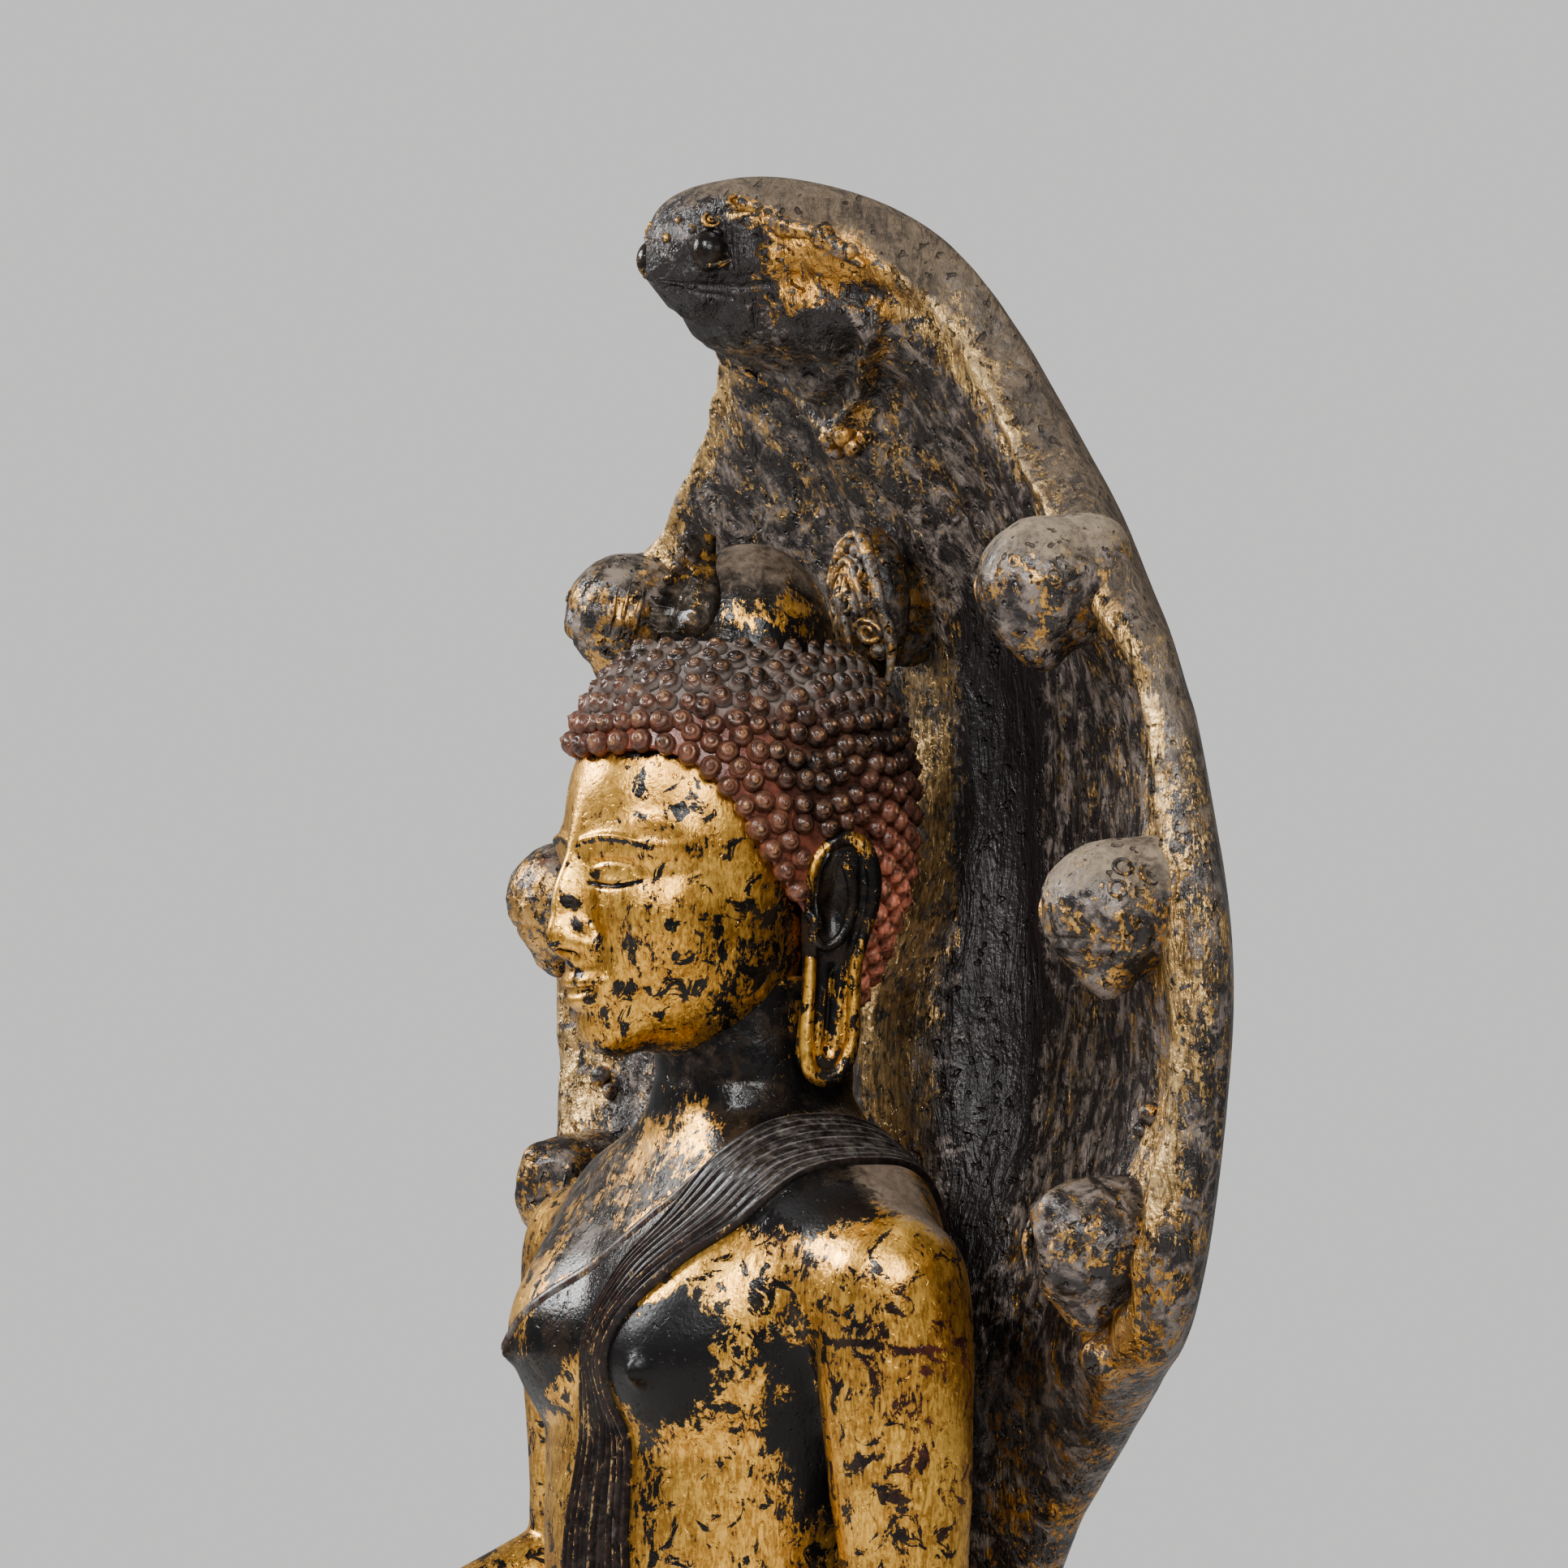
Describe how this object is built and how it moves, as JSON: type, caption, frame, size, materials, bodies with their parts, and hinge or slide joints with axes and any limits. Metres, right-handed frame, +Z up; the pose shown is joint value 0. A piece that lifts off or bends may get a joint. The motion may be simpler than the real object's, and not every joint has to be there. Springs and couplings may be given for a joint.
{
  "type": "naga buddha",
  "caption": "Calm seated figure in a one-shoulder robe, sheltered by the many-headed hood of a great snake and set on the snake's stacked coils.",
  "frame": {"origin": "middle of the throne's flat underside, on the surface it stands on", "axes": "+Z up through the figure, -Y the way the figure faces, +X to the figure's left"},
  "size_m": [0.876, 0.6272, 1.5951],
  "materials": {
    "lacquer_and_gold": "worn gold leaf over black lacquer on cast bronze, dusty on top",
    "dark_bronze": "dark lacquered bronze with rubbed gold and tan dust",
    "coil_bronze": "dark lacquered bronze with rubbed gold on the coils"
  },
  "bodies": {
    "root": {"seated_figure": "lacquer_and_gold", "snake_hood": "dark_bronze", "coiled_throne": "coil_bronze"}
  },
  "joints": []
}
